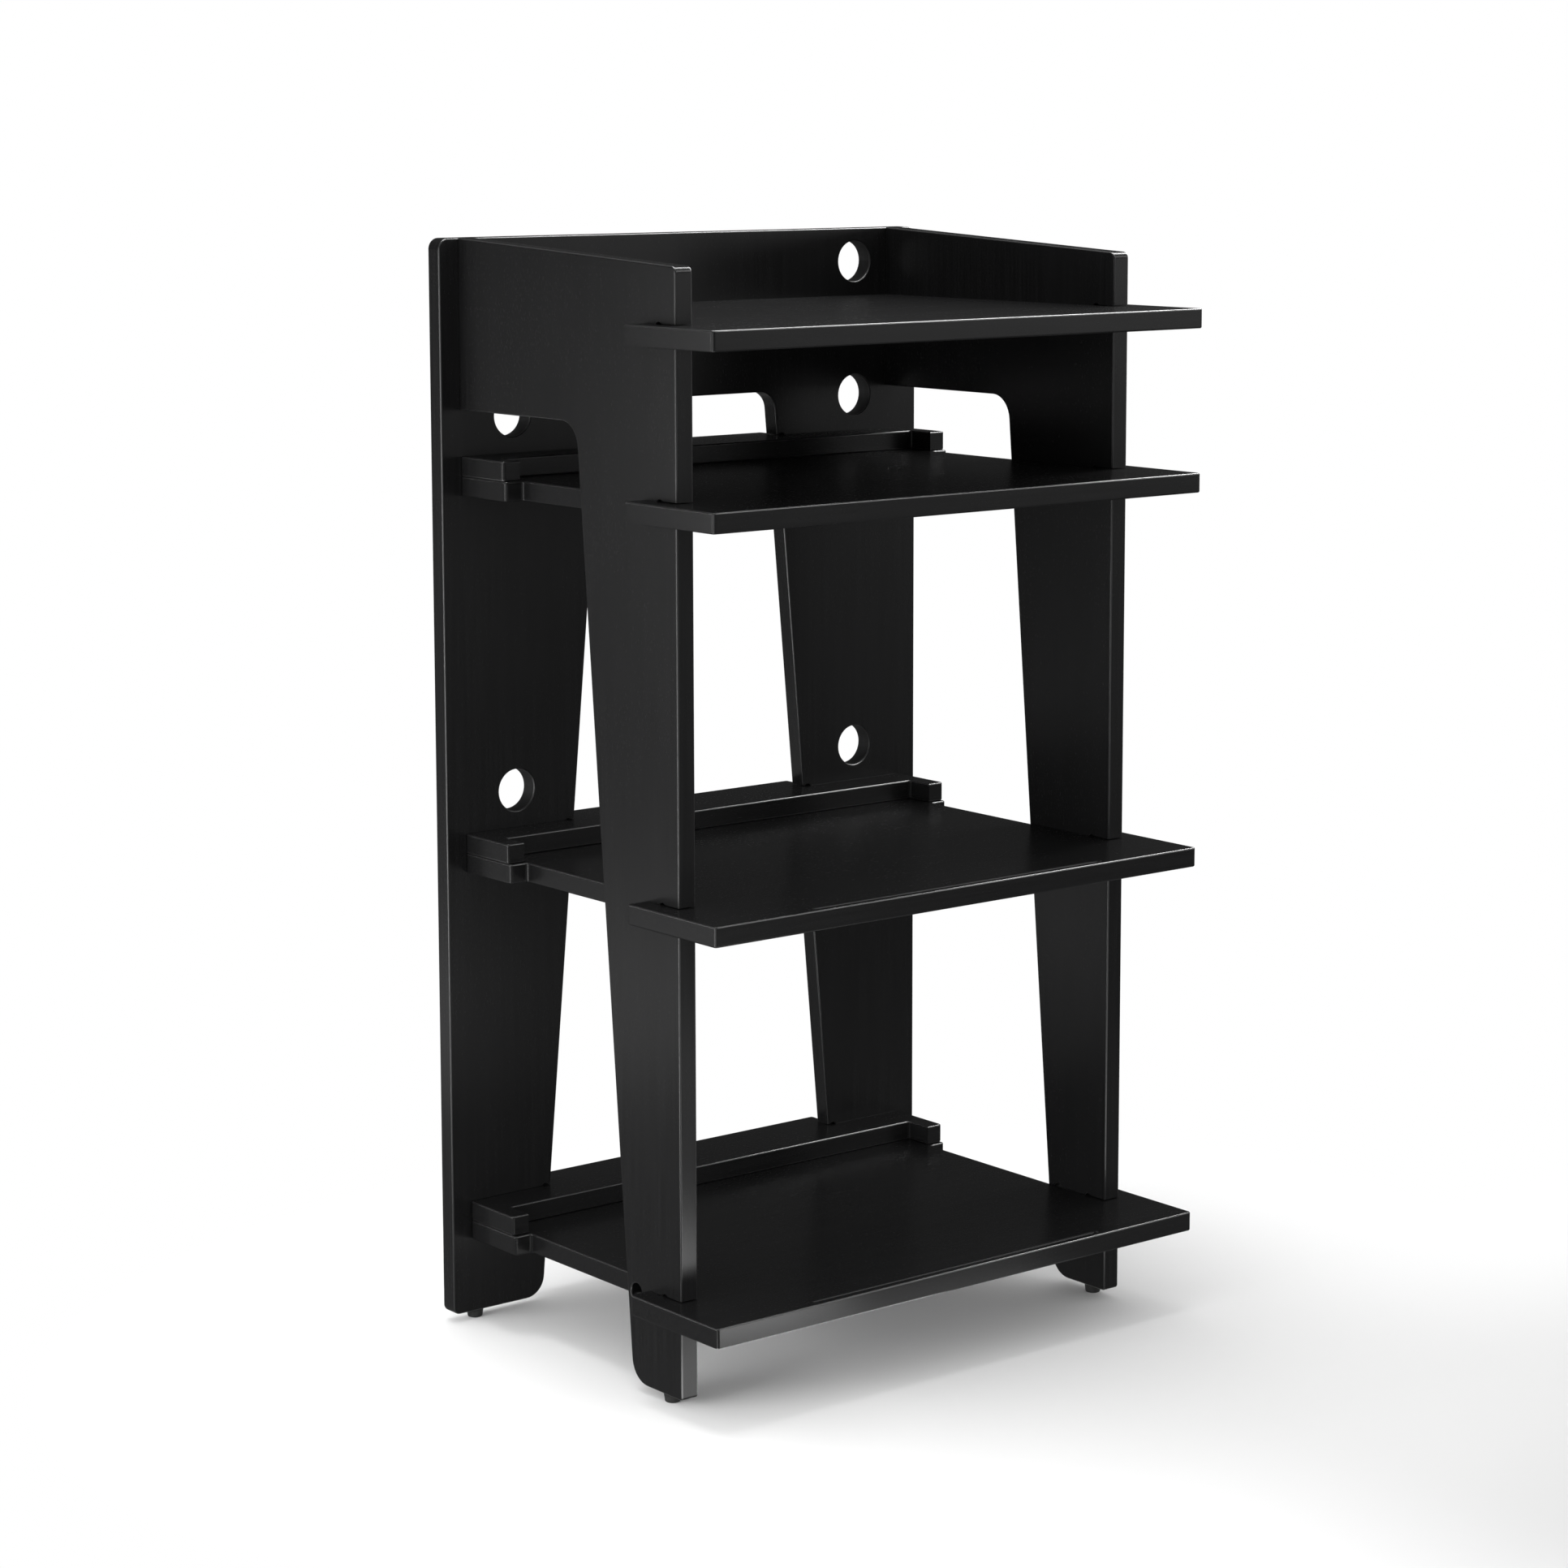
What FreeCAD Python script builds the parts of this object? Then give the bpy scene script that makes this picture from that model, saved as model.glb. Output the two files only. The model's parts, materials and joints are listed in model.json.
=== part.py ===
import FreeCAD, Part
import os
import re
import Sketcher

# A free-standing record player stand of flat boards that slot together: an upright back
# panel cut as an inverted U, two side panels cut as a 7, four shelves, and a low U-shaped
# stop rail at the back of the three lower shelves. +Z is up and the front faces -Y.
# The origin is on the floor, under the middle of the whole stand. Millimetres throughout.

SIZES = {
    # boards and how they are finished
    "board": 18,                # thickness of every board
    "corner_radius": 3,         # small corners, seen along the board's thickness
    "edge_round": 1.5,          # round-over along the outlines
    # overall
    "stand_width": 558,
    "stand_height": 1002,       # floor to the top of the back panel
    "glide_height": 8,          # floor to the lower edges of the boards
    "side_inset": 20,           # side panels stand in from the ends of the shelves
    # back panel
    "crossbar_height": 154,     # the panel's top bar, as tall as the arms of the side panels
    "leg_width_top": 177,       # a back leg at the crossbar
    "leg_width_foot": 100.5,    # a back leg at its foot
    "crossbar_fillet": 18,      # inner corners under the crossbar
    "leg_inner_radius": 20,     # foot of a back leg, on the inside
    "leg_outer_radius": 7,      # foot of a back leg, on the outside
    "panel_top_radius": 10,     # upper corners of the back panel
    # side panels
    "side_depth": 324,          # back panel to the front edge
    "front_drop": 16,           # fall of the top edge towards the front
    "post_width_top": 144.5,    # front post at the underside of the arm
    "post_width_foot": 71,      # front post at its foot
    "arm_fillet": 24,           # corner between arm and post
    "post_rear_radius": 22,     # foot of the front post, on its rear
    "post_top_radius": 6,       # upper front corner
    "relief_hole_radius": 8,    # round hole behind the lowest lap joint
    "relief_hole_margin": 12.7,     # rear edge of the post to the middle of the hole
    "relief_hole_drop": 6,      # top face of the bottom shelf to the middle of the hole
    # shelves
    "top_drop": 65,             # top of the stand to the top face of the top shelf
    "deck_spacing": 149,        # top face of the top shelf to that of the upper shelf
    "bottom_level": 96,         # floor to the top face of the bottom shelf
    "front_overhang": 77,       # front edge of the side panels to that of the shelves
    "rear_wing_length": 72,
    "tongue_proud": 19,         # how far the tongues stand out behind the back panel
    "groove_length": 336,
    "groove_width": 6,
    "groove_depth": 2.5,
    "groove_floor_round": 1.8,
    "groove_setback": 9,        # front edge to the middle of the groove
    # stop rails
    "rail_bar_depth": 39,
    "rail_arm_step": 4,         # end of a shelf's rear wing to the end of the rail's arm on it
    # joints between the boards
    "side_slot_depth": 27,      # slots in a side panel, from its front edge
    "shelf_slot_depth": 20,     # slots in a shelf, from the rear ends of its front wings
    "notch_depth": 8.7,         # how far a tongue reaches into each back leg
    "slot_play": 0.8,           # air above a board in its slot or notch
    "side_play": 0.3,           # air beside a board in its slot or notch
    "relief_radius": 5,         # cutter rounds at the inner corners of slots and notches
    # cable holes in the back legs
    "cable_hole_radius": 19.5,
    "cable_hole_margin": 77.3,  # outer edge of the leg to the middle of the holes
    "cable_hole_drop": 32,      # top of the back panel to the middle of the highest hole
    "cable_hole_rise": 52.5,    # top face of a shelf to the middle of the hole behind it
    # connector screws, driven from behind through the back panel
    "screw_radius": 3.5,
    "screw_length": 50,
    "screw_head_radius": 5,
    "screw_head_height": 4,
    "screw_socket_width": 4,
    "screw_socket_depth": 2.5,
    "arm_screw_margin": 34,     # upper and lower edges of the crossbar to the screws of an arm
    "top_screw_spacing": 150,   # between the screws of the top shelf
    "leg_screw_margin": 34,     # outer end of a rear wing to its screw
    # wood screws, driven from below through a shelf into its stop rail
    "rail_screw_radius": 2,
    "rail_screw_cover": 6,      # wood left above the tip of a screw
    "rail_screw_head_radius": 4,
    "rail_screw_head_height": 2.5,
    "rail_screw_socket_width": 2.6,
    "rail_screw_socket_depth": 1.6,
    "rail_screw_offset": 90,    # middle of the stand to the screws of the bar
    "rail_arm_screw_inset": 14,     # end of a rail's arm to its screw
    # dowels between the back panel and what it carries, and under the rails
    "dowel_radius": 4,
    "dowel_length": 35,
    "dowel_seat": 12,           # the part of a dowel that is in the back panel
    "dowel_offset": 75,         # middle of the stand to the dowels of the top shelf
    "rail_dowel_radius": 3,
    "rail_dowel_length": 20,
    "rail_dowel_offset": 150,
    # holes for screws, dowels and pins
    "hole_play": 0.2,           # air around a shank
    "end_play": 0.8,            # air beyond the end of a shank
    # glides under the boards, each held by a steel pin
    "glide_radius": 8,
    "glide_taper": 1.2,         # how much narrower a glide's radius is at the floor
    "glide_round": 1.2,
    "glide_margin": 29,         # outer edge of the stand to the middle of a back glide
    "glide_inset": 25,          # front edge of a side panel to the middle of a front glide
    "pin_radius": 1.25,
    "pin_length": 22,
    "pin_sink": 3,              # floor to the lower end of a pin
    # working value
    "overrun": 5,               # how far a cut starts outside the board
}

# Places and sizes worked out from the sheet, as text for the expressions
HALF_WIDTH = "(stand_width / 2)"
SIDE_OUTER = "(stand_width / 2 - side_inset)"
SIDE_INNER = "(stand_width / 2 - side_inset - board)"
SIDE_MIDDLE = "(stand_width / 2 - side_inset - board / 2)"
ARM_BOTTOM = "(stand_height - crossbar_height)"
SHELF_REACH = "(side_depth + front_overhang)"
TONGUE_REACH = "(board + tongue_proud)"
FACE_PLACE = "(%s - %s) / 2" % (SHELF_REACH, TONGUE_REACH)
LAP_SETBACK = "(side_depth - side_slot_depth)"
WING_SETBACK = "(%s - shelf_slot_depth)" % LAP_SETBACK
RAIL_ARM_LENGTH = "(rear_wing_length - rail_arm_step)"
RAIL_SCREW_LENGTH = "(2 * board - rail_screw_cover)"
RELIEF_STEP = "(relief_radius / sqrt(2))"
CABLE_HOLE_PLACE = "(stand_width / 2 - cable_hole_margin)"
LEG_SCREW_PLACE = "(%s - leg_screw_margin)" % SIDE_OUTER
GLIDE_PLACE = "(stand_width / 2 - glide_margin)"
GLIDE_SETBACK = "(side_depth - glide_inset)"

# Levels of the shelves' top faces: the middle shelf is halfway between its neighbours
TOP_LEVEL = "(stand_height - top_drop)"
UPPER_LEVEL = "(%s - deck_spacing)" % TOP_LEVEL
MIDDLE_LEVEL = "((%s + bottom_level) / 2)" % UPPER_LEVEL
LOWER_LEVELS = {"upper": UPPER_LEVEL, "middle": MIDDLE_LEVEL, "bottom": "bottom_level"}
ALL_LEVELS = [TOP_LEVEL, *LOWER_LEVELS.values()]

doc = FreeCAD.newDocument("record_player_stand")
sheet = doc.addObject("Spreadsheet::Sheet", "Sizes")
for row, (size_name, size) in enumerate(SIZES.items(), start=1):
    sheet.set("A%d" % row, size_name)
    sheet.set("B%d" % row, str(size))
    sheet.setAlias("B%d" % row, size_name)
doc.recompute()


def bound(text):
    """The expression with each size name pointing at its cell of the sheet."""
    return re.sub(r"[a-z][a-z_]*", lambda m: "Sizes." + m.group() if m.group() in SIZES else m.group(), text)


def minus(text):
    """The expression of the opposite value."""
    return "-(%s)" % text


def both_sides(places):
    """Each place and its mirror image in the middle plane of the stand."""
    mirrored = [(minus(across), along) for across, along in places]
    return list(places) + mirrored


def leg_inner(level):
    """Half the opening between the back legs at a level: the inner edges slant outwards."""
    taper = "(leg_width_top - leg_width_foot) / (%s - glide_height)" % ARM_BOTTOM
    return "(stand_width / 2 - leg_width_top + (%s - %s) * %s)" % (ARM_BOTTOM, level, taper)


def post_rear(level):
    """Back panel to the rear edge of a front post at a level: the edge slants forwards."""
    taper = "(post_width_top - post_width_foot) / (%s - glide_height)" % ARM_BOTTOM
    return "(side_depth - post_width_foot - (%s - glide_height) * %s)" % (level, taper)


def tongue_half(level):
    """Half the width of the tongues of a shelf and its rail."""
    return "(%s + notch_depth)" % leg_inner("(%s + board)" % level)


def new_body(name, place=None):
    """An empty body whose own plane y = 0 is the front face of the back panel."""
    body = doc.addObject("PartDesign::Body", name)
    body.Label = name
    body.setExpression("Placement.Base.y", bound(FACE_PLACE))
    for axis, text in (place or {}).items():
        body.setExpression("Placement.Base." + axis, bound(text))
    return body


def new_sketch(body, name, plane, offset=None):
    """A sketch on one of the body's origin planes, or parallel to it along its normal."""
    sketch = body.newObject("Sketcher::SketchObject", "%s_%s" % (body.Name, name))
    planes = [f for f in body.Origin.OriginFeatures if f.Role == plane]
    sketch.AttachmentSupport = [(planes[0], "")]
    sketch.MapMode = "FlatFace"
    if offset:
        sketch.setExpression("AttachmentOffset.Base.z", bound(offset))
    return sketch


def bind(sketch, kind, element, text, start):
    """A size of the sketch, measured from its origin or of one element, bound to the sheet."""
    if kind == "Radius":
        index = sketch.addConstraint(Sketcher.Constraint(kind, element, start))
    else:
        index = sketch.addConstraint(Sketcher.Constraint(kind, -1, 1, element[0], element[1], start))
    sketch.setExpression("Constraints[%d]" % index, bound(text))


def add_outline(sketch, points):
    """A closed outline of straight lines through places given as expressions."""
    first = sketch.GeometryCount
    count = len(points)
    seeds = [FreeCAD.Vector(1, 0, 0)]
    for step in range(1, count):
        seeds.append(FreeCAD.Rotation(FreeCAD.Vector(0, 0, 1), 360 * step / count).multVec(seeds[0]))
    for step in range(count):
        sketch.addGeometry(Part.LineSegment(seeds[step], seeds[(step + 1) % count]), False)
    for step in range(count):
        following = first + (step + 1) % count
        sketch.addConstraint(Sketcher.Constraint("Coincident", first + step, 2, following, 1))
    for step, (across, along) in enumerate(points):
        bind(sketch, "DistanceX", (first + step, 1), across, seeds[step].x)
        bind(sketch, "DistanceY", (first + step, 1), along, seeds[step].y)


def add_circles(sketch, places, radius):
    """Circles of one radius at places given as expressions."""
    for across, along in places:
        index = sketch.GeometryCount
        seed = FreeCAD.Vector(1, 1, 0)
        sketch.addGeometry(Part.Circle(seed, FreeCAD.Vector(0, 0, 1), 1), False)
        bind(sketch, "DistanceX", (index, 3), across, seed.x)
        bind(sketch, "DistanceY", (index, 3), along, seed.y)
        bind(sketch, "Radius", index, radius, 1)


def pad(body, sketch, length, reverse=False):
    """Material along the sketch's normal, or against it."""
    feature = body.newObject("PartDesign::Pad", sketch.Name + "_pad")
    feature.Profile = sketch
    feature.Reversed = reverse
    feature.setExpression("Length", bound(length))
    sketch.Visibility = False
    doc.recompute()
    return feature


def pocket(body, sketch, depth=None, reverse=False):
    """A cut against the sketch's normal, or along it: right through when no depth is given."""
    before = body.Tip.Shape.Volume
    feature = body.newObject("PartDesign::Pocket", sketch.Name + "_cut")
    feature.Profile = sketch
    feature.Reversed = reverse
    if depth is None:
        feature.Type = "ThroughAll"
    else:
        feature.setExpression("Length", bound(depth))
    sketch.Visibility = False
    doc.recompute()
    if not feature.Shape.Volume < before:
        raise RuntimeError(feature.Name + " cuts nothing")
    return feature


def drill(body, name, plane, places, radius, depth=None, offset=None, reverse=False):
    """Round holes of one size."""
    sketch = new_sketch(body, name, plane, offset)
    add_circles(sketch, places, radius)
    return pocket(body, sketch, depth, reverse)


def rod(body, name, plane, places, radius, length, offset=None, reverse=False):
    """Round bars of one size."""
    sketch = new_sketch(body, name, plane, offset)
    add_circles(sketch, places, radius)
    return pad(body, sketch, length, reverse)


def fillet(body, name, picked, radius):
    """A fillet of the named edges or faces of the body's last feature."""
    base = body.Tip
    feature = body.newObject("PartDesign::Fillet", "%s_%s" % (body.Name, name))
    feature.Base = (base, picked)
    feature.setExpression("Radius", bound(radius))
    doc.recompute()
    return feature


def round_corners(body, name, sketch, corners, radius):
    """Rounds the corners of a board's outline that are listed by their order in the sketch."""
    points = [sketch.Placement.multVec(sketch.getPoint(corner, 1)) for corner in corners]
    normal = sketch.Placement.Rotation.multVec(FreeCAD.Vector(0, 0, 1))
    picked = []
    for index, edge in enumerate(body.Tip.Shape.Edges, start=1):
        ends = [vertex.Point for vertex in edge.Vertexes]
        if len(ends) != 2 or not ends[0].distanceToLine(ends[1], normal) < Part.Precision.confusion():
            continue
        if any(end.distanceToLine(ends[0], normal) < Part.Precision.confusion() for end in points):
            picked.append("Edge%d" % index)
    if len(picked) != len(corners):
        raise RuntimeError("%s: %d corners found of %d" % (body.Name, len(picked), len(corners)))
    return fillet(body, name, picked, radius)


def round_outline(body, sketch):
    """Rounds over the outlines of both broad faces of a board."""
    normal = sketch.Placement.Rotation.multVec(FreeCAD.Vector(0, 0, 1))
    picked = []
    for index, face in enumerate(body.Tip.Shape.Faces, start=1):
        flat = isinstance(face.Surface, Part.Plane)
        if flat and face.Surface.Axis.cross(normal).Length < Part.Precision.confusion():
            picked.append("Face%d" % index)
    return fillet(body, "round_over", picked, "edge_round")


def cut_reliefs(body, plane, corners):
    """Cutter rounds whose circles run through the inner corners of slots and notches."""
    for side, places in corners.items():
        drill(body, side + "_reliefs", plane, places, "relief_radius")


ARM_SCREW_PLACES = both_sides([
    (SIDE_MIDDLE, ARM_BOTTOM + " + arm_screw_margin"),
    (SIDE_MIDDLE, "stand_height - arm_screw_margin"),
])
ARM_DOWEL_PLACES = both_sides([(SIDE_MIDDLE, "stand_height - crossbar_height / 2")])
TOP_EDGE_LEVEL = TOP_LEVEL + " - board / 2"
TOP_SCREW_PLACES = [("0", TOP_EDGE_LEVEL)] + both_sides([("top_screw_spacing", TOP_EDGE_LEVEL)])
TOP_DOWEL_PLACES = both_sides([("dowel_offset", TOP_EDGE_LEVEL)])
LEG_SCREW_PLACES = both_sides([(LEG_SCREW_PLACE, level + " - board / 2") for level in LOWER_LEVELS.values()])
CABLE_HOLE_PLACES = both_sides([
    (CABLE_HOLE_PLACE, "stand_height - cable_hole_drop"),
    (CABLE_HOLE_PLACE, UPPER_LEVEL + " + cable_hole_rise"),
    (CABLE_HOLE_PLACE, MIDDLE_LEVEL + " + cable_hole_rise"),
])
RAIL_SCREW_PLACES = both_sides([
    ("rail_screw_offset", "-rail_bar_depth / 2"),
    (SIDE_MIDDLE, "rail_arm_screw_inset - " + RAIL_ARM_LENGTH),
])
RAIL_DOWEL_PLACES = both_sides([("rail_dowel_offset", "-rail_bar_depth / 2")])


def make_back_panel():
    """Inverted U: the crossbar and two legs that taper to the foot, notched for the tongues."""
    body = new_body("back_panel")
    outline = new_sketch(body, "outline", "XZ_Plane")
    foot_inner = leg_inner("glide_height")
    add_outline(outline, [
        (minus(HALF_WIDTH), "stand_height"),
        (HALF_WIDTH, "stand_height"),
        (HALF_WIDTH, "glide_height"),
        (foot_inner, "glide_height"),
        (leg_inner(ARM_BOTTOM), ARM_BOTTOM),
        (minus(leg_inner(ARM_BOTTOM)), ARM_BOTTOM),
        (minus(foot_inner), "glide_height"),
        (minus(HALF_WIDTH), "glide_height"),
    ])
    pad(body, outline, "board", reverse=True)
    round_corners(body, "top_corners", outline, [0, 1], "panel_top_radius")
    round_corners(body, "inner_corners", outline, [4, 5], "crossbar_fillet")
    round_corners(body, "inner_feet", outline, [3, 6], "leg_inner_radius")
    round_corners(body, "outer_feet", outline, [2, 7], "leg_outer_radius")
    drill(body, "cable_holes", "XZ_Plane", CABLE_HOLE_PLACES, "cable_hole_radius")
    round_outline(body, outline)

    notches = new_sketch(body, "notches", "XZ_Plane")
    reliefs = {"upper": [], "lower": []}
    for level in LOWER_LEVELS.values():
        end = tongue_half(level) + " + side_play"
        floor = level + " - board"
        ceiling = level + " + board + slot_play"
        start = tongue_half(level) + " - notch_depth * 2"
        for side in (str, minus):
            near = side(start)
            far = side(end)
            add_outline(notches, [(near, floor), (far, floor), (far, ceiling), (near, ceiling)])
            corner = side("%s - %s" % (end, RELIEF_STEP))
            reliefs["upper"].append((corner, "%s - %s" % (ceiling, RELIEF_STEP)))
            reliefs["lower"].append((corner, "%s + %s" % (floor, RELIEF_STEP)))
    pocket(body, notches)
    cut_reliefs(body, "XZ_Plane", reliefs)

    screws = ARM_SCREW_PLACES + TOP_SCREW_PLACES + LEG_SCREW_PLACES
    drill(body, "screw_holes", "XZ_Plane", screws, "screw_radius + hole_play")
    drill(body, "head_seats", "XZ_Plane", screws, "screw_head_radius + hole_play",
          "screw_head_height", offset="-board", reverse=True)
    drill(body, "dowel_holes", "XZ_Plane", ARM_DOWEL_PLACES + TOP_DOWEL_PLACES,
          "dowel_radius + hole_play", "dowel_seat + end_play")
    drill(body, "pin_holes", "XY_Plane", both_sides([(GLIDE_PLACE, "board / 2")]), "pin_radius + hole_play",
          "pin_length + pin_sink - glide_height + end_play", offset="glide_height", reverse=True)
    return body


def make_side_panel(name, inner_side):
    """A 7 seen from the side: an arm back to the back panel and a post that tapers to the foot."""
    body = new_body(name, {"x": inner_side})
    outline = new_sketch(body, "outline", "YZ_Plane")
    add_outline(outline, [
        ("0", "stand_height"),
        ("0", ARM_BOTTOM),
        ("post_width_top - side_depth", ARM_BOTTOM),
        ("post_width_foot - side_depth", "glide_height"),
        ("-side_depth", "glide_height"),
        ("-side_depth", "stand_height - front_drop"),
    ])
    pad(body, outline, "board", reverse=True)
    round_corners(body, "arm_corner", outline, [2], "arm_fillet")
    round_corners(body, "rear_foot", outline, [3], "post_rear_radius")
    round_corners(body, "front_foot", outline, [4], "corner_radius")
    round_corners(body, "top_corner", outline, [5], "post_top_radius")
    relief_level = "(bottom_level - relief_hole_drop)"
    relief_place = (minus("%s + relief_hole_margin" % post_rear(relief_level)), relief_level)
    drill(body, "relief_hole", "YZ_Plane", [relief_place], "relief_hole_radius")
    round_outline(body, outline)

    slots = new_sketch(body, "slots", "YZ_Plane")
    reliefs = {"upper": [], "lower": []}
    mouth = "-side_depth - overrun"
    end = minus(LAP_SETBACK)
    corner = "%s - %s" % (end, RELIEF_STEP)
    for level in ALL_LEVELS:
        floor = level + " - board"
        ceiling = level + " + slot_play"
        add_outline(slots, [(mouth, floor), (end, floor), (end, ceiling), (mouth, ceiling)])
        reliefs["upper"].append((corner, "%s - %s" % (ceiling, RELIEF_STEP)))
        reliefs["lower"].append((corner, "%s + %s" % (floor, RELIEF_STEP)))
    pocket(body, slots)
    cut_reliefs(body, "YZ_Plane", reliefs)

    middle = "-board / 2"
    screws = [(middle, along) for across, along in ARM_SCREW_PLACES[:2]]
    dowels = [(middle, along) for across, along in ARM_DOWEL_PLACES[:1]]
    drill(body, "screw_holes", "XZ_Plane", screws, "screw_radius + hole_play",
          "screw_length - board + end_play", reverse=True)
    drill(body, "dowel_holes", "XZ_Plane", dowels, "dowel_radius + hole_play",
          "dowel_length - dowel_seat + end_play", reverse=True)
    drill(body, "pin_holes", "XY_Plane", [(middle, minus(GLIDE_SETBACK))], "pin_radius + hole_play",
          "pin_length + pin_sink - glide_height + end_play", offset="glide_height", reverse=True)
    return body


def cut_lap_slots(body):
    """Slots from the rear ends of the front wings, which take the side panels."""
    slots = new_sketch(body, "slots", "XY_Plane")
    reliefs = {"inner": [], "outer": []}
    inner = SIDE_INNER + " - side_play"
    outer = SIDE_OUTER + " + side_play"
    end = minus(LAP_SETBACK)
    mouth = "overrun - " + WING_SETBACK
    corner = "%s + %s" % (end, RELIEF_STEP)
    for side in (str, minus):
        add_outline(slots, [(side(inner), end), (side(outer), end), (side(outer), mouth), (side(inner), mouth)])
        reliefs["inner"].append((side("%s + %s" % (inner, RELIEF_STEP)), corner))
        reliefs["outer"].append((side("%s - %s" % (outer, RELIEF_STEP)), corner))
    pocket(body, slots)
    cut_reliefs(body, "XY_Plane", reliefs)


def make_top_shelf():
    """The shelf for the record player: it butts against the back panel's crossbar."""
    body = new_body("shelf_top", {"z": TOP_LEVEL})
    outline = new_sketch(body, "outline", "XY_Plane")
    inner = "%s - side_play" % SIDE_INNER
    right_half = [
        (HALF_WIDTH, minus(SHELF_REACH)),
        (HALF_WIDTH, minus(WING_SETBACK)),
        (inner, minus(WING_SETBACK)),
        (inner, "0"),
    ]
    left_half = [(minus(across), along) for across, along in reversed(right_half)]
    add_outline(outline, right_half + left_half)
    pad(body, outline, "board", reverse=True)
    round_corners(body, "wing_corners", outline, [0, 1, 6, 7], "corner_radius")
    round_outline(body, outline)
    cut_lap_slots(body)
    edge_middle = "-board / 2"
    drill(body, "screw_holes", "XZ_Plane", [(across, edge_middle) for across, along in TOP_SCREW_PLACES],
          "screw_radius + hole_play", "screw_length - board + end_play", reverse=True)
    drill(body, "dowel_holes", "XZ_Plane", [(across, edge_middle) for across, along in TOP_DOWEL_PLACES],
          "dowel_radius + hole_play", "dowel_length - dowel_seat + end_play", reverse=True)
    return body


def cut_groove(body):
    """A shallow groove with round ends near the front edge of the top face."""
    middle = "groove_setback - " + SHELF_REACH
    end = "(groove_length - groove_width) / 2"
    straight = new_sketch(body, "groove", "XY_Plane")
    front = middle + " - groove_width / 2"
    rear = middle + " + groove_width / 2"
    add_outline(straight, [(minus(end), front), (end, front), (end, rear), (minus(end), rear)])
    pocket(body, straight, "groove_depth")
    drill(body, "groove_ends", "XY_Plane", both_sides([(end, middle)]), "groove_width / 2", "groove_depth")
    depth = straight.Placement.Base.z - sheet.groove_depth
    floors = []
    for index, face in enumerate(body.Tip.Shape.Faces, start=1):
        box = face.BoundBox
        if box.ZLength < Part.Precision.confusion() and abs(box.ZMin - depth) < Part.Precision.confusion():
            floors.append("Face%d" % index)
    fillet(body, "groove_floor", floors, "groove_floor_round")


def make_shelf(key, level, grooved):
    """A record shelf: front wings past the side panels, rear wings and a tongue at the back."""
    body = new_body("shelf_" + key, {"z": level})
    outline = new_sketch(body, "outline", "XY_Plane")
    inner = "%s - side_play" % SIDE_INNER
    right_half = [
        (HALF_WIDTH, minus(SHELF_REACH)),
        (HALF_WIDTH, minus(WING_SETBACK)),
        (inner, minus(WING_SETBACK)),
        (inner, "-rear_wing_length"),
        (SIDE_OUTER, "-rear_wing_length"),
        (SIDE_OUTER, "0"),
        (tongue_half(level), "0"),
        (tongue_half(level), TONGUE_REACH),
    ]
    left_half = [(minus(across), along) for across, along in reversed(right_half)]
    add_outline(outline, right_half + left_half)
    pad(body, outline, "board", reverse=True)
    round_corners(body, "corners", outline, [0, 1, 3, 4, 5, 7, 8, 10, 11, 12, 14, 15], "corner_radius")
    round_outline(body, outline)
    cut_lap_slots(body)
    if grooved:
        cut_groove(body)
    drill(body, "leg_screw_holes", "XZ_Plane", both_sides([(LEG_SCREW_PLACE, "-board / 2")]),
          "screw_radius + hole_play", "screw_length - board + end_play", reverse=True)
    drill(body, "rail_screw_holes", "XY_Plane", RAIL_SCREW_PLACES, "rail_screw_radius + hole_play")
    drill(body, "rail_head_seats", "XY_Plane", RAIL_SCREW_PLACES, "rail_screw_head_radius + hole_play",
          "rail_screw_head_height", offset="-board", reverse=True)
    drill(body, "rail_dowel_holes", "XY_Plane", RAIL_DOWEL_PLACES, "rail_dowel_radius + hole_play",
          "rail_dowel_length / 2 + end_play")
    return body


def make_rail(key, level):
    """A U that lies on the shelf and stops the records: its tongue passes between the legs."""
    body = new_body("rail_" + key, {"z": level + " + board"})
    outline = new_sketch(body, "outline", "XY_Plane")
    right_half = [
        (SIDE_INNER, "-rail_bar_depth"),
        (SIDE_INNER, minus(RAIL_ARM_LENGTH)),
        (SIDE_OUTER, minus(RAIL_ARM_LENGTH)),
        (SIDE_OUTER, "0"),
        (tongue_half(level), "0"),
        (tongue_half(level), TONGUE_REACH),
    ]
    left_half = [(minus(across), along) for across, along in reversed(right_half)]
    add_outline(outline, right_half + left_half)
    pad(body, outline, "board", reverse=True)
    round_corners(body, "corners", outline, [0, 2, 3, 5, 6, 8, 9, 11], "corner_radius")
    round_outline(body, outline)
    drill(body, "screw_holes", "XY_Plane", RAIL_SCREW_PLACES, "rail_screw_radius + hole_play",
          RAIL_SCREW_LENGTH + " - board + end_play", offset="-board", reverse=True)
    drill(body, "dowel_holes", "XY_Plane", RAIL_DOWEL_PLACES, "rail_dowel_radius + hole_play",
          "rail_dowel_length / 2 + end_play", offset="-board", reverse=True)
    return body


def cut_sockets(body, plane, places, width, depth, offset, reverse):
    """Square driver sockets in the heads."""
    sketch = new_sketch(body, "sockets", plane, offset)
    for across, along in places:
        left = "%s - %s / 2" % (across, width)
        right = "%s + %s / 2" % (across, width)
        low = "%s - %s / 2" % (along, width)
        high = "%s + %s / 2" % (along, width)
        add_outline(sketch, [(left, low), (right, low), (right, high), (left, high)])
    pocket(body, sketch, depth, reverse)


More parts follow.
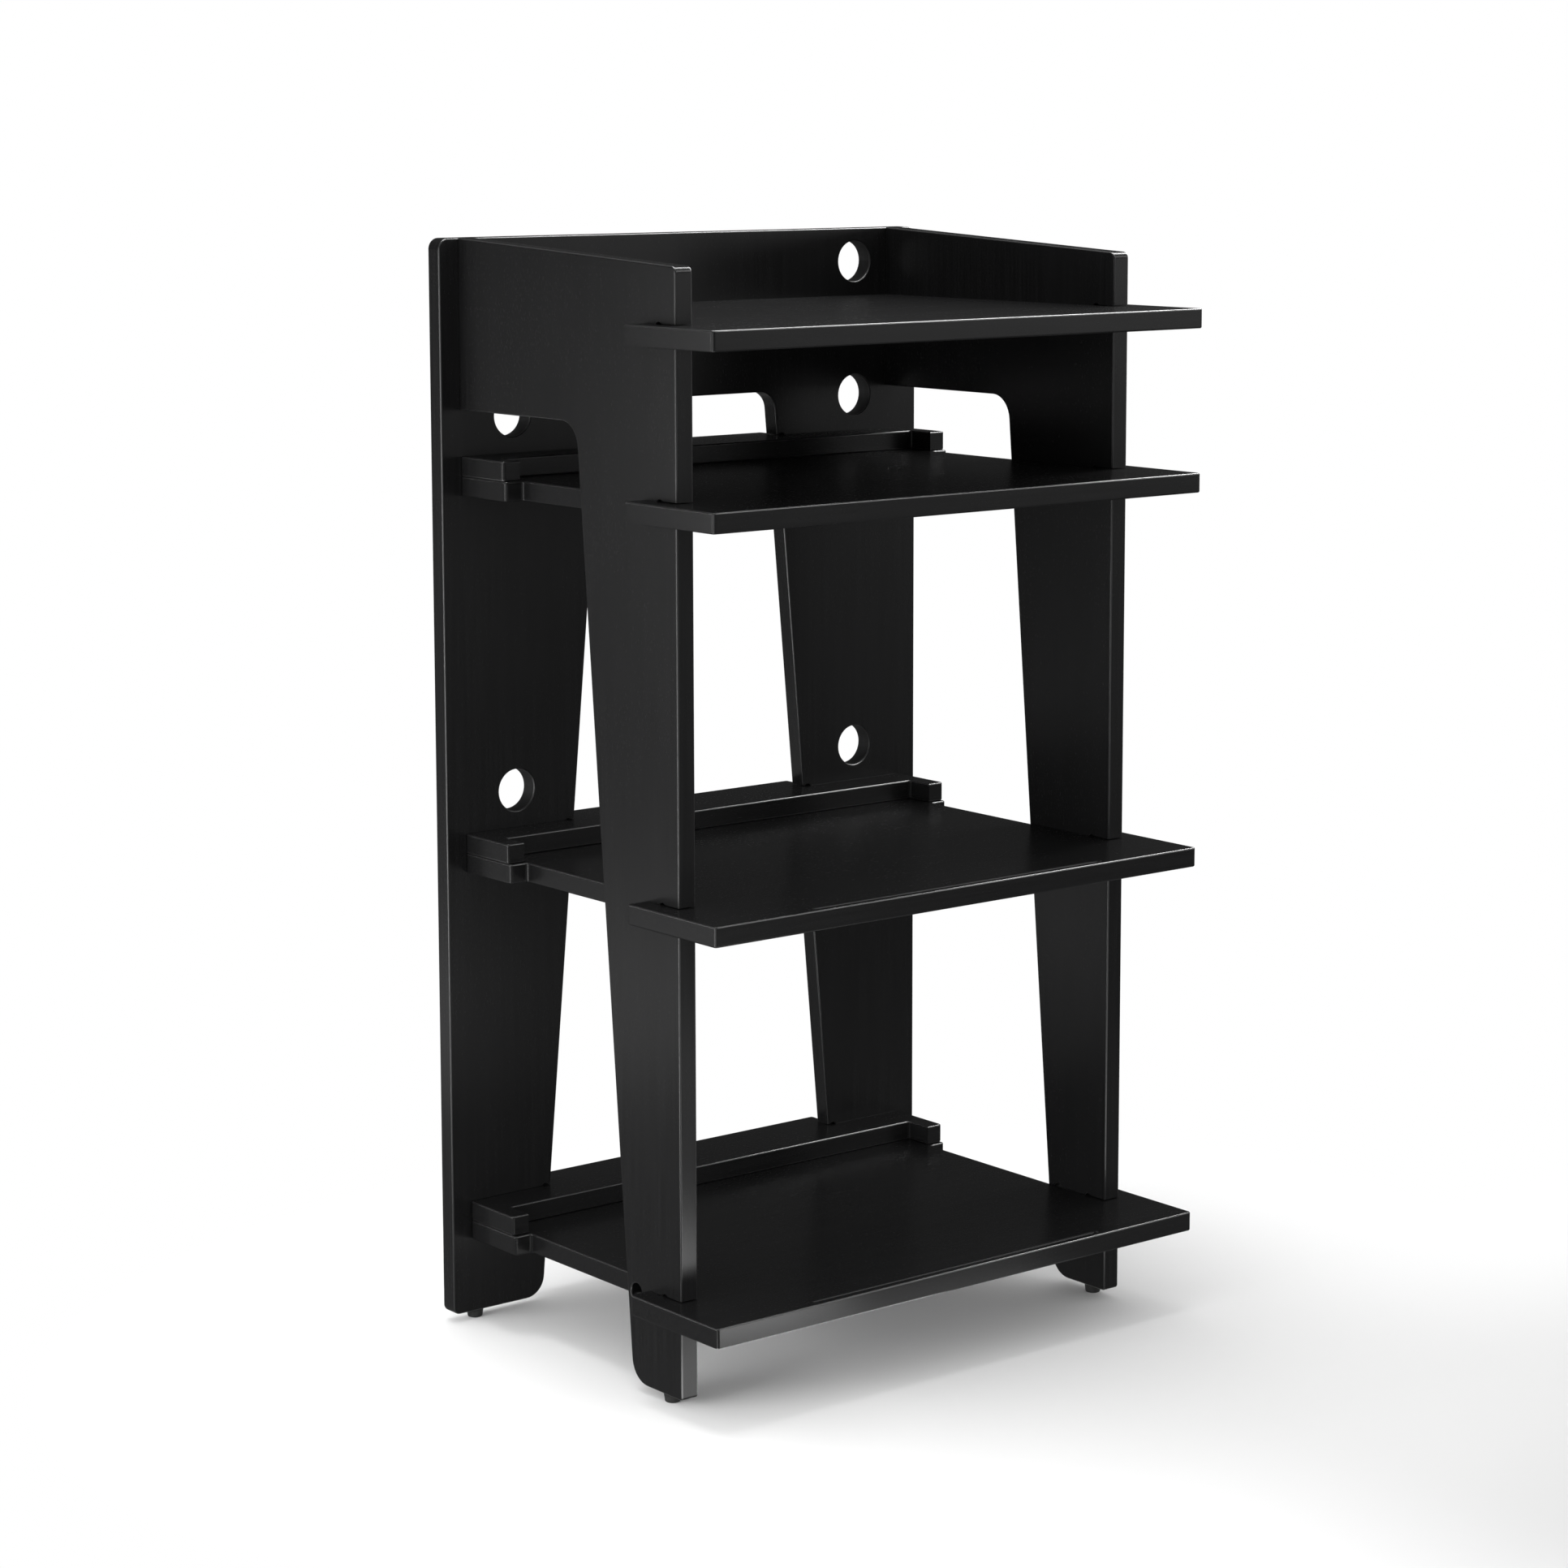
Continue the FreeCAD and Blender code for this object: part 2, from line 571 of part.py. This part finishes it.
def make_connector_screws(name, places):
    """Screws along Y with flat heads let in flush at the rear of the back panel."""
    body = new_body(name)
    rod(body, "shanks", "XZ_Plane", places, "screw_radius", "screw_length", offset="-board")
    rod(body, "heads", "XZ_Plane", places, "screw_head_radius", "screw_head_height", offset="-board")
    cut_sockets(body, "XZ_Plane", places, "screw_socket_width", "screw_socket_depth", "-board", True)
    return body


def make_back_dowels(name, places):
    """Dowels along Y, partly in the back panel and partly in the board in front of it."""
    body = new_body(name)
    rod(body, "dowels", "XZ_Plane", places, "dowel_radius", "dowel_length", offset="-dowel_seat")
    return body


def make_rail_screws(key, level):
    """Upright screws from the underside of a shelf into its rail."""
    body = new_body("rail_screws_" + key, {"z": level + " - board"})
    rod(body, "shanks", "XY_Plane", RAIL_SCREW_PLACES, "rail_screw_radius", RAIL_SCREW_LENGTH)
    rod(body, "heads", "XY_Plane", RAIL_SCREW_PLACES, "rail_screw_head_radius", "rail_screw_head_height")
    cut_sockets(body, "XY_Plane", RAIL_SCREW_PLACES, "rail_screw_socket_width",
                "rail_screw_socket_depth", None, True)
    return body


def make_rail_dowels(key, level):
    """Upright dowels, half in a shelf and half in its rail."""
    body = new_body("rail_dowels_" + key, {"z": level + " - rail_dowel_length / 2"})
    rod(body, "dowels", "XY_Plane", RAIL_DOWEL_PLACES, "rail_dowel_radius", "rail_dowel_length")
    return body


def make_glide(name, across, along):
    """A turned foot, a little narrower at the floor, with a blind hole for its pin."""
    body = new_body(name, {"x": across, "y": "%s + %s" % (FACE_PLACE, along)})
    section = new_sketch(body, "section", "XZ_Plane")
    add_outline(section, [
        ("0", "0"),
        ("glide_radius - glide_taper", "0"),
        ("glide_radius", "glide_height"),
        ("0", "glide_height"),
    ])
    turned = body.newObject("PartDesign::Revolution", name + "_turned")
    turned.Profile = section
    turned.ReferenceAxis = (section, ["V_Axis"])
    turned.Angle = 360
    doc.recompute()
    rims = []
    for index, edge in enumerate(turned.Shape.Edges, start=1):
        box = edge.BoundBox
        if box.ZLength < Part.Precision.confusion() and abs(box.ZMin) < Part.Precision.confusion():
            rims.append("Edge%d" % index)
    fillet(body, "foot_round", rims, "glide_round")
    drill(body, "pin_hole", "XY_Plane", [("0", "0")], "pin_radius + hole_play",
          "glide_height - pin_sink", offset="glide_height")
    return body


def make_glide_pins():
    """Steel pins, each in a glide and in the board above it."""
    places = both_sides([(GLIDE_PLACE, "board / 2"), (SIDE_MIDDLE, minus(GLIDE_SETBACK))])
    body = new_body("glide_pins")
    rod(body, "pins", "XY_Plane", places, "pin_radius", "pin_length", offset="pin_sink")
    return body


def make_stand():
    """All the pieces of the stand."""
    pieces = [make_back_panel()]
    pieces.append(make_side_panel("side_panel_left", minus(SIDE_INNER)))
    pieces.append(make_side_panel("side_panel_right", SIDE_OUTER))
    pieces.append(make_top_shelf())
    for key, level in LOWER_LEVELS.items():
        pieces.append(make_shelf(key, level, grooved=key != "upper"))
        pieces.append(make_rail(key, level))
        pieces.append(make_rail_screws(key, level))
        pieces.append(make_rail_dowels(key, level))
    pieces.append(make_connector_screws("arm_screws", ARM_SCREW_PLACES))
    pieces.append(make_connector_screws("top_shelf_screws", TOP_SCREW_PLACES))
    pieces.append(make_connector_screws("leg_screws", LEG_SCREW_PLACES))
    pieces.append(make_back_dowels("arm_dowels", ARM_DOWEL_PLACES))
    pieces.append(make_back_dowels("top_shelf_dowels", TOP_DOWEL_PLACES))
    pieces.append(make_glide("glide_back_left", minus(GLIDE_PLACE), "board / 2"))
    pieces.append(make_glide("glide_back_right", GLIDE_PLACE, "board / 2"))
    pieces.append(make_glide("glide_front_left", minus(SIDE_MIDDLE), minus(GLIDE_SETBACK)))
    pieces.append(make_glide("glide_front_right", SIDE_MIDDLE, minus(GLIDE_SETBACK)))
    pieces.append(make_glide_pins())
    return pieces


def check(pieces):
    """Stops if a feature failed or a piece has no sound solid."""
    doc.recompute()
    for item in doc.Objects:
        if "Invalid" in item.State or "Error" in item.State:
            raise RuntimeError("%s failed" % item.Name)
    for piece in pieces:
        if piece.Shape.isNull() or not piece.Shape.isValid() or not piece.Shape.Solids:
            raise RuntimeError("%s is not sound" % piece.Label)


stand = make_stand()
check(stand)
os.makedirs("parts", exist_ok=True)
for piece in stand:
    piece.Shape.exportStep("parts/%s.step" % piece.Label)
    print("%-20s %2d solid(s) %12.1f mm3" % (piece.Label, len(piece.Shape.Solids), piece.Shape.Volume))
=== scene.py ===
import json
import math
from functools import reduce

import bpy
from mathutils import Matrix, Vector

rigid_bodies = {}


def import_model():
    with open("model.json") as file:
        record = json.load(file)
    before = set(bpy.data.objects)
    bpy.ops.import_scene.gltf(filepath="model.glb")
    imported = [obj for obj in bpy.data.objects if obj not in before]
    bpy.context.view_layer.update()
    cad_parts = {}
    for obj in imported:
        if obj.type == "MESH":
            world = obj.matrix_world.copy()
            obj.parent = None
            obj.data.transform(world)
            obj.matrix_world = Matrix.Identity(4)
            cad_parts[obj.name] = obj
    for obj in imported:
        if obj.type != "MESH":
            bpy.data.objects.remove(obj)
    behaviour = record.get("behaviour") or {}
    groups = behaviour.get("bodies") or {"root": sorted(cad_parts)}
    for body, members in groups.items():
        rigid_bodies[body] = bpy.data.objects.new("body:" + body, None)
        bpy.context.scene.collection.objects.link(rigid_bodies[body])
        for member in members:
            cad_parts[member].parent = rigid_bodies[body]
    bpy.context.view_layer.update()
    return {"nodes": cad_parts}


for leftover in list(bpy.data.objects):
    bpy.data.objects.remove(leftover)

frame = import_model()

# Places on the stand that the finishes follow, in metres
CABLE_HOLE_X = 0.2017           # middle of the stand to the cable holes
CABLE_HOLE_LEVELS = (0.970, 0.8405, 0.4945)
CABLE_HOLE_RADIUS = 0.0195
EDGE_ROUND = 0.0015             # radius of the rounded edges
BOARD_HALF = 0.009              # half of a board's thickness
BACK_PANEL_MIDDLE = 0.191       # depth of the back panel's middle
SIDE_PANEL_MIDDLE = 0.250       # middle of the stand to a side panel's middle
SHELF_TOPS = (0.955, 0.806, 0.460, 0.114)
SHELF_HALF_WIDTH = 0.279
SHELF_FRONT = 0.219             # middle of the stand to the shelves' front edges

# Depths below a board's face, in metres, where the mask of its rounded edges starts and ends
EDGE_START = (0.02 * EDGE_ROUND, 0.1 * EDGE_ROUND)
EDGE_END = (0.85 * EDGE_ROUND, EDGE_ROUND)

UPRIGHT_BOARDS = ("side_panel_left", "side_panel_right")
FLAT_BOARDS = (
    "shelf_top", "shelf_upper", "shelf_middle", "shelf_bottom",
    "rail_upper", "rail_middle", "rail_bottom",
)
GLIDES = ("glide_back_left", "glide_back_right", "glide_front_left", "glide_front_right")
STEEL = (
    "arm_screws", "top_shelf_screws", "leg_screws",
    "rail_screws_upper", "rail_screws_middle", "rail_screws_bottom", "glide_pins",
)
DOWELS = (
    "arm_dowels", "top_shelf_dowels",
    "rail_dowels_upper", "rail_dowels_middle", "rail_dowels_bottom",
)


class Value:
    """A socket of a shader tree that takes part in plain sums."""

    def __init__(self, finish, socket):
        self.finish = finish
        self.socket = socket

    def math(self, operation, *others):
        inputs = dict(enumerate((self, *others)))
        return self.finish.add("ShaderNodeMath", {"operation": operation}, inputs)

    def __add__(self, other):
        return self.math("ADD", other)

    __radd__ = __add__

    def __mul__(self, other):
        return self.math("MULTIPLY", other)

    __rmul__ = __mul__

    def __sub__(self, other):
        return self.math("SUBTRACT", other)

    def __rsub__(self, other):
        return self.finish.add("ShaderNodeMath", {"operation": "SUBTRACT"}, {0: other, 1: self})

    def __truediv__(self, other):
        return self.math("DIVIDE", other)

    def __neg__(self):
        return self * -1.0

    def __abs__(self):
        return self.math("ABSOLUTE")

    def least(self, other):
        return self.math("MINIMUM", other)

    def most(self, other):
        return self.math("MAXIMUM", other)

    def step(self, start, end):
        """0 up to start, 1 from end on, and smooth in between."""
        settings = {"interpolation_type": "SMOOTHSTEP"}
        inputs = {"Value": self, "From Min": start, "From Max": end}
        return self.finish.add("ShaderNodeMapRange", settings, inputs)


def length(across, along):
    """Length of the vector with those two components."""
    return (across * across + along * along).math("SQRT")


class Finish:
    """The node tree of a material or a world, and the methods that add to it."""

    def __init__(self, name, world=False):
        maker = bpy.data.worlds if world else bpy.data.materials
        self.block = maker.new(name)
        self.block.use_nodes = True
        self.tree = self.block.node_tree
        self.tree.nodes.clear()

    def add(self, kind, settings=None, inputs=None, output=0):
        """A node of that kind: its settings first, then its sockets' values or links."""
        node = self.tree.nodes.new(kind)
        for name, setting in (settings or {}).items():
            setattr(node, name, setting)
        for name, value in (inputs or {}).items():
            if isinstance(value, Value):
                self.tree.links.new(value.socket, node.inputs[name])
            else:
                node.inputs[name].default_value = value
        return Value(self, node.outputs[output]) if node.outputs else None

    def place(self):
        """Position on the piece, which is its place on the stand."""
        return self.add("ShaderNodeTexCoord", output="Object")

    def parts(self, vector):
        """The three components of a vector."""
        node = self.add("ShaderNodeSeparateXYZ", None, {0: vector}).socket.node
        return [Value(self, socket) for socket in node.outputs]

    def stretched(self, vector, scale):
        """The vector with each component times its own scale."""
        return self.add("ShaderNodeVectorMath", {"operation": "MULTIPLY"}, {0: vector, 1: scale})

    def noise(self, vector, scale=1.0, detail=2.0, roughness=0.5):
        inputs = {"Vector": vector, "Scale": scale, "Detail": detail, "Roughness": roughness}
        return self.add("ShaderNodeTexNoise", {"normalize": True}, inputs)

    def blend(self, factor, first, second):
        """A colour from first to second, each of them a link or three levels."""
        inputs = {0: factor}
        for slot, shade in ((6, first), (7, second)):
            inputs[slot] = shade if isinstance(shade, Value) else tuple(shade) + (1.0,)
        return self.add("ShaderNodeMix", {"data_type": "RGBA"}, inputs, output=2)

    def bump(self, height, depth):
        """Normals of a relief that is depth metres deep where height goes from 0 to 1."""
        inputs = {"Strength": 1.0, "Distance": depth, "Height": height}
        return self.add("ShaderNodeBump", None, inputs)

    def rays(self, *names):
        """1 for the named kinds of ray and 0 for the others."""
        outputs = self.add("ShaderNodeLightPath").socket.node.outputs
        return reduce(Value.most, [Value(self, outputs[name]) for name in names])

    def surface(self, fixed, varied):
        """A Principled shader with fixed values and with values that vary over the surface."""
        shader = self.add("ShaderNodeBsdfPrincipled", None, {**fixed, **varied})
        self.add("ShaderNodeOutputMaterial", None, {"Surface": shader})
        return self.block


# Finishes of the pieces. Scales are in turns per metre and depths in metres.

LACQUER_BLACK = (0.0046, 0.0046, 0.0047)
LACQUER_WORN = (0.0070, 0.0070, 0.0072)
LACQUER_ROUGHNESS = 0.245
BORE_BLACK = (0.016, 0.016, 0.0165)
BORE_FIBRE_SCALE = (900.0, 160.0, 900.0)
BORE_RELIEF = 70.0              # depth of the bore's fibres against that of the grain
GRAIN_ACROSS = 420.0
GRAIN_ALONG = 9.0
PORES_ACROSS = 1900.0
PORES_ALONG = 190.0
UPRIGHT_GRAIN = {
    "grain_scale": (GRAIN_ACROSS, GRAIN_ACROSS, GRAIN_ALONG),
    "pore_scale": (PORES_ACROSS, PORES_ACROSS, PORES_ALONG),
    "relief": 0.0000013,
}
FLAT_GRAIN = {
    "grain_scale": (GRAIN_ALONG, GRAIN_ACROSS, GRAIN_ACROSS),
    "pore_scale": (PORES_ALONG, PORES_ACROSS, PORES_ACROSS),
    "relief": 0.000002,
}
PLASTIC_DARK = (0.010, 0.010, 0.010)
PLASTIC_LIGHT = (0.020, 0.020, 0.019)
STEEL_BLUISH = (0.50, 0.50, 0.51)
STEEL_WARM = (0.64, 0.63, 0.60)
SCRATCH_SCALE = (2600.0, 300.0, 900.0)
BEECH_DARK = (0.42, 0.27, 0.15)
BEECH_LIGHT = (0.66, 0.47, 0.29)
BEECH_RING_SCALE = (700.0, 60.0, 700.0)


def board_planes(kind, x, y, z):
    """Distance to the nearest face plane of the boards of that kind."""
    if kind == "back":
        return abs(abs(y - BACK_PANEL_MIDDLE) - BOARD_HALF)
    if kind == "upright":
        return abs(abs(abs(x) - SIDE_PANEL_MIDDLE) - BOARD_HALF)
    # a shelf's underside, its top, and the top of the rail that lies on it
    return reduce(Value.least, [
        abs(abs(abs(z - level) - BOARD_HALF) - BOARD_HALF) for level in SHELF_TOPS
    ])


def rim(reach, limit):
    """1 where reach comes within the rounding of an edge that lies at limit."""
    fade, depth = EDGE_END
    return reach.step(limit - depth, limit - fade)


def arris(kind, x, y, z):
    """1 on the rounded edges of the boards of that kind and 0 on their flats."""
    distance = board_planes(kind, x, y, z)
    edge = distance.step(*EDGE_START) * (1.0 - distance.step(*EDGE_END))
    if kind == "flat":
        edge = edge.most(rim(abs(x), SHELF_HALF_WIDTH) * rim(-y, SHELF_FRONT))
    return edge


def bore_walls(x, z):
    """1 on the walls of the cable holes, ending within the rounding of their rims."""
    across = abs(x) - CABLE_HOLE_X
    near = reduce(Value.least, [length(across, z - level) for level in CABLE_HOLE_LEVELS])
    start = CABLE_HOLE_RADIUS + 0.15 * EDGE_ROUND
    end = CABLE_HOLE_RADIUS + 0.5 * EDGE_ROUND
    return 1.0 - near.step(start, end)


def lacquer(name, kind, grain_scale, pore_scale, relief):
    """Black satin lacquer over a veneered board, whose grain shows as a faint relief.

    The rounded edges are glossier than the flats.
    """
    finish = Finish(name)
    place = finish.place()
    x, y, z = finish.parts(place)
    streaks = finish.noise(finish.stretched(place, grain_scale), detail=3.0, roughness=0.6)
    pores = finish.noise(finish.stretched(place, pore_scale), detail=2.0, roughness=0.55)
    spray = finish.noise(place, scale=1700.0, detail=1.0)
    mottle = finish.noise(place, scale=9.0, detail=3.0, roughness=0.55)
    pore = 1.0 - pores.step(0.26, 0.42)
    colour = finish.blend(streaks.step(0.3, 0.75), LACQUER_BLACK, LACQUER_WORN)
    rough = LACQUER_ROUGHNESS + 0.012 * streaks + 0.012 * mottle.step(0.3, 0.7) + 0.02 * pore
    height = 0.35 * streaks + 0.5 * (1.0 - pore) + 0.15 * spray
    if kind == "back":
        wall = bore_walls(x, z)
        fibre = finish.noise(
            finish.stretched(place, BORE_FIBRE_SCALE), detail=3.0, roughness=0.65
        )
        colour = finish.blend(wall, colour, finish.blend(fibre, LACQUER_BLACK, BORE_BLACK))
        rough = rough + wall * (0.18 + 0.2 * fibre)
        height = height * (1.0 - wall) + BORE_RELIEF * wall * fibre
    fixed = {"Specular IOR Level": 0.25, "Coat IOR": 1.7, "Coat Roughness": 0.4}
    return finish.surface(fixed, {
        "Base Color": colour,
        "Roughness": rough,
        "Coat Weight": arris(kind, x, y, z),
        "Normal": finish.bump(height, relief),
    })


def moulded_plastic(name):
    finish = Finish(name)
    place = finish.place()
    grain = finish.noise(place, scale=1500.0, detail=2.0)
    scuff = finish.noise(place, scale=160.0, detail=3.0, roughness=0.6)
    return finish.surface({"Specular IOR Level": 0.45}, {
        "Base Color": finish.blend(scuff.step(0.35, 0.75), PLASTIC_DARK, PLASTIC_LIGHT),
        "Roughness": 0.42 + 0.16 * scuff,
        "Normal": finish.bump(grain, depth=0.00004),
    })


def plated_steel(name):
    finish = Finish(name)
    place = finish.place()
    cloud = finish.noise(place, scale=240.0, detail=3.0, roughness=0.6)
    scratch = finish.noise(finish.stretched(place, SCRATCH_SCALE), detail=2.0)
    return finish.surface({"Metallic": 1.0}, {
        "Base Color": finish.blend(cloud.step(0.3, 0.7), STEEL_BLUISH, STEEL_WARM),
        "Roughness": 0.26 + 0.2 * scratch,
        "Normal": finish.bump(scratch, depth=0.00002),
    })


def beech(name):
    finish = Finish(name)
    place = finish.place()
    rings = finish.noise(finish.stretched(place, BEECH_RING_SCALE), detail=3.0, roughness=0.6)
    flecks = finish.noise(place, scale=1400.0, detail=2.0)
    return finish.surface({"Specular IOR Level": 0.35}, {
        "Base Color": finish.blend(rings, BEECH_DARK, BEECH_LIGHT),
        "Roughness": 0.55 + 0.15 * rings,
        "Normal": finish.bump(0.7 * rings + 0.3 * flecks, depth=0.00006),
    })


def dress(nodes, material):
    """Gives CAD nodes a finish in place of the plain one that they came with."""
    for name in nodes:
        slots = frame["nodes"][name].data.materials
        slots.clear()
        slots.append(material)


dress(["back_panel"], lacquer("lacquer_back_panel", "back", **UPRIGHT_GRAIN))
dress(UPRIGHT_BOARDS, lacquer("lacquer_upright", "upright", **UPRIGHT_GRAIN))
dress(FLAT_BOARDS, lacquer("lacquer_flat", "flat", **FLAT_GRAIN))
dress(GLIDES, moulded_plastic("glide_plastic_moulded"))
dress(STEEL, plated_steel("steel_plated"))
dress(DOWELS, beech("beech_dowel"))


# Floor and surroundings

WHITE = (1.0, 1.0, 1.0, 1.0)
FLOOR_HALF_SIZE = 30.0
PAPER_GREY = 0.85               # grey level of the paper before painted shade darkens it to the front and right
LIT_HALF_WIDTH = 0.40           # half axes of the ellipse around the stand where the lamps
LIT_HALF_DEPTH = 0.34           # alone light the paper
LIT_FORWARD = 0.02              # how far that ellipse lies in front of the stand's middle
STUDIO_LOW = 0.025              # what reflections see of the surroundings below, and how
STUDIO_RISE = 0.035             # much more they see above
STUDIO_FILL = 0.95              # what the surroundings add to the diffuse light


def make_floor():
    """Paper lit by the lamps near the stand, which turns to plain white away from the stand;
    painted shade darkens the paper's colour to the front and right.
    """
    corners = [(-1, -1), (1, -1), (1, 1), (-1, 1)]
    mesh = bpy.data.meshes.new("floor")
    mesh.from_pydata(
        [(FLOOR_HALF_SIZE * x, FLOOR_HALF_SIZE * y, 0.0) for x, y in corners], [], [(0, 1, 2, 3)]
    )
    floor = bpy.data.objects.new("floor", mesh)
    bpy.context.scene.collection.objects.link(floor)
    finish = Finish("floor_paper")
    x, y = finish.parts(finish.place())[:2]
    front = -y
    # 1 on the ellipse around the stand, and so many times its size further out
    away = length(x / LIT_HALF_WIDTH, (y + LIT_FORWARD) / LIT_HALF_DEPTH)
    # the lit paper reaches further out to the front and right
    front_right = x.step(-0.7, 0.3) * front.step(0.1, 0.6) * (1.0 - away.step(2.2, 7.0))
    far = away.step(1.0, 1.9) * (1.0 - front_right)
    # painted shade: the paper's colour darkens to the front and right of the stand, standing in
    # for the light falling off there
    painted_shade = 0.20 * front.step(0.12, 0.5) + 0.13 * front.step(0.4, 0.9)
    shaded_paper_grey = PAPER_GREY - x.step(-0.4, 0.15) * painted_shade
    paper = finish.add("ShaderNodeBsdfDiffuse", None, {"Color": shaded_paper_grey})
    # what reflections see of the floor
    right_side = x.step(0.6, 1.1) * (1.0 - away.step(6.0, 12.0))
    sheen = 0.2 + 0.12 * front.step(0.0, 1.0) - 0.18 * right_side
    camera = finish.rays("Is Camera Ray", "Is Transmission Ray")
    gloss = finish.rays("Is Glossy Ray")
    level = camera + gloss * sheen
    white = finish.add("ShaderNodeEmission", None, {"Color": WHITE, "Strength": level})
    mixed = finish.add("ShaderNodeMixShader", None, {0: far.most(gloss), 1: paper, 2: white})
    finish.add("ShaderNodeOutputMaterial", None, {"Surface": mixed})
    mesh.materials.append(finish.block)


def make_world():
    """White to the camera, nearly white to diffuse light and dim in reflections."""
    finish = Finish("studio", world=True)
    camera = finish.rays("Is Camera Ray", "Is Transmission Ray")
    gloss = finish.rays("Is Glossy Ray")
    upward = finish.parts(finish.place())[2]
    dim = STUDIO_LOW + STUDIO_RISE * upward.step(0.1, 0.3)
    level = camera + dim * gloss + STUDIO_FILL * (1.0 - camera.most(gloss))
    light = finish.add("ShaderNodeBackground", None, {"Color": WHITE, "Strength": level})
    finish.add("ShaderNodeOutputWorld", None, {"Surface": light})
    bpy.context.scene.world = finish.block


make_floor()
make_world()


# Lamps

POWER_PER_RADIANCE = 4.0        # times the area: a lamp's power for a radiance of 1
FLOOR_LAMP_HEIGHT = 0.002       # lamps that lie just above the floor and face up
ALL_LIGHT = ("diffuse", "glossy")
DIFFUSE = ("diffuse",)
GLOSS = ("glossy",)
KEY_AIM = (0.0, 0.0, 0.7)

# name, place, what it faces, width and height, radiance, what it lights
SOFTBOXES = (
    ("softbox_top", (-0.15, 0.1, 2.6), (0.0, 0.0, 0.4), (1.0, 1.0), 9.0, ALL_LIGHT),
    ("fill_front", (-1.3, -2.2, 0.4), (0.0, 0.0, 0.1), (2.4, 0.8), 4.0, DIFFUSE),
    ("fill_left", (-2.0, 0.2, 0.4), (0.0, 0.0, 0.1), (1.6, 0.8), 8.5, DIFFUSE),
    ("strip_right_high", (1.24, -0.05, 2.14), (0.0, -0.25, 0.6), (0.4, 1.4), 20.0, GLOSS),
    ("strip_left", (-1.7, -0.1, 0.6), (0.0, 0.0, 0.6), (0.5, 1.0), 2.0, GLOSS),
    ("key_high", (1.92, -2.84, 2.76), KEY_AIM, (1.40, 1.00), 4.6, GLOSS),
    ("key_right", (2.82, -2.37, 2.26), KEY_AIM, (1.40, 0.90), 2.6, GLOSS),
    ("key_low", (2.67, -2.96, 0.99), KEY_AIM, (2.10, 0.53), 1.2, GLOSS),
    ("card_upper", (-1.54, 0.94, 0.80), (-0.25, 0.0, 0.80), (0.22, 0.60), 6.8, GLOSS),
    ("card_lower", (-1.54, 0.94, 0.27), (-0.25, 0.0, 0.27), (0.22, 0.46), 1.8, GLOSS),
)
# name, from left to right, from front to back, radiance
FLOOR_LAMPS = (
    ("floor_front_near", (-0.36, 0.04), (-0.28, -0.15), 2.8),
    ("floor_front_middle", (-0.16, 0.24), (-0.42, -0.28), 1.4),
    ("floor_front_far", (-0.16, 0.04), (-0.62, -0.42), 7.5),
    ("floor_front_right", (0.24, 0.50), (-1.50, -0.95), 2.0),
    ("floor_back_left", (-1.60, -0.70), (0.80, 1.60), 0.55),
    ("floor_left", (-6.00, -1.00), (-0.35, 0.05), 7.5),
)


def softbox(name, place, target, size, radiance, lights):
    """A rectangular lamp facing the target, as bright as radiance all over its face."""
    width, height = size
    lamp = bpy.data.lights.new(name, "AREA")
    lamp.shape = "RECTANGLE"
    lamp.size = width
    lamp.size_y = height
    lamp.energy = POWER_PER_RADIANCE * radiance * width * height
    box = bpy.data.objects.new(name, lamp)
    box.location = place
    facing = Vector(target) - Vector(place)
    box.rotation_euler = facing.to_track_quat("-Z", "Y").to_euler()
    box.visible_camera = False
    box.visible_diffuse = "diffuse" in lights
    box.visible_glossy = "glossy" in lights
    bpy.context.scene.collection.objects.link(box)


for row in SOFTBOXES:
    softbox(*row)
for lamp_name, (left, right), (front, back), radiance in FLOOR_LAMPS:
    middle = ((left + right) / 2, (front + back) / 2)
    size = (right - left, back - front)
    softbox(lamp_name, (*middle, FLOOR_LAMP_HEIGHT), (*middle, 1.0), size, radiance, GLOSS)


# Camera

CAMERA_PLACE = (-2.1719, -2.6914, 1.1099)
CAMERA_YAW = math.radians(38.636)       # from straight ahead towards the right
CAMERA_PITCH = math.radians(8.084)      # downwards
CAMERA_ROLL = math.radians(-0.099)


def make_camera():
    lens_data = bpy.data.cameras.new("camera")
    lens_data.sensor_width = 36.0
    lens_data.lens = 87.771
    lens_data.shift_x = -0.0059
    lens_data.shift_y = -0.0800
    lens_data.clip_end = 200.0
    camera = bpy.data.objects.new("camera", lens_data)
    ahead = math.cos(CAMERA_PITCH)
    forward = Vector((
        math.sin(CAMERA_YAW) * ahead, math.cos(CAMERA_YAW) * ahead, -math.sin(CAMERA_PITCH)
    ))
    level = Vector((math.cos(CAMERA_YAW), -math.sin(CAMERA_YAW), 0.0))
    upward = level.cross(forward)
    right = math.cos(CAMERA_ROLL) * level + math.sin(CAMERA_ROLL) * upward
    up = right.cross(forward)
    turn = Matrix((right, up, -forward)).transposed()
    camera.matrix_world = Matrix.Translation(CAMERA_PLACE) @ turn.to_4x4()
    bpy.context.scene.collection.objects.link(camera)
    bpy.context.scene.camera = camera


make_camera()
bpy.context.scene.view_settings.view_transform = "Standard"
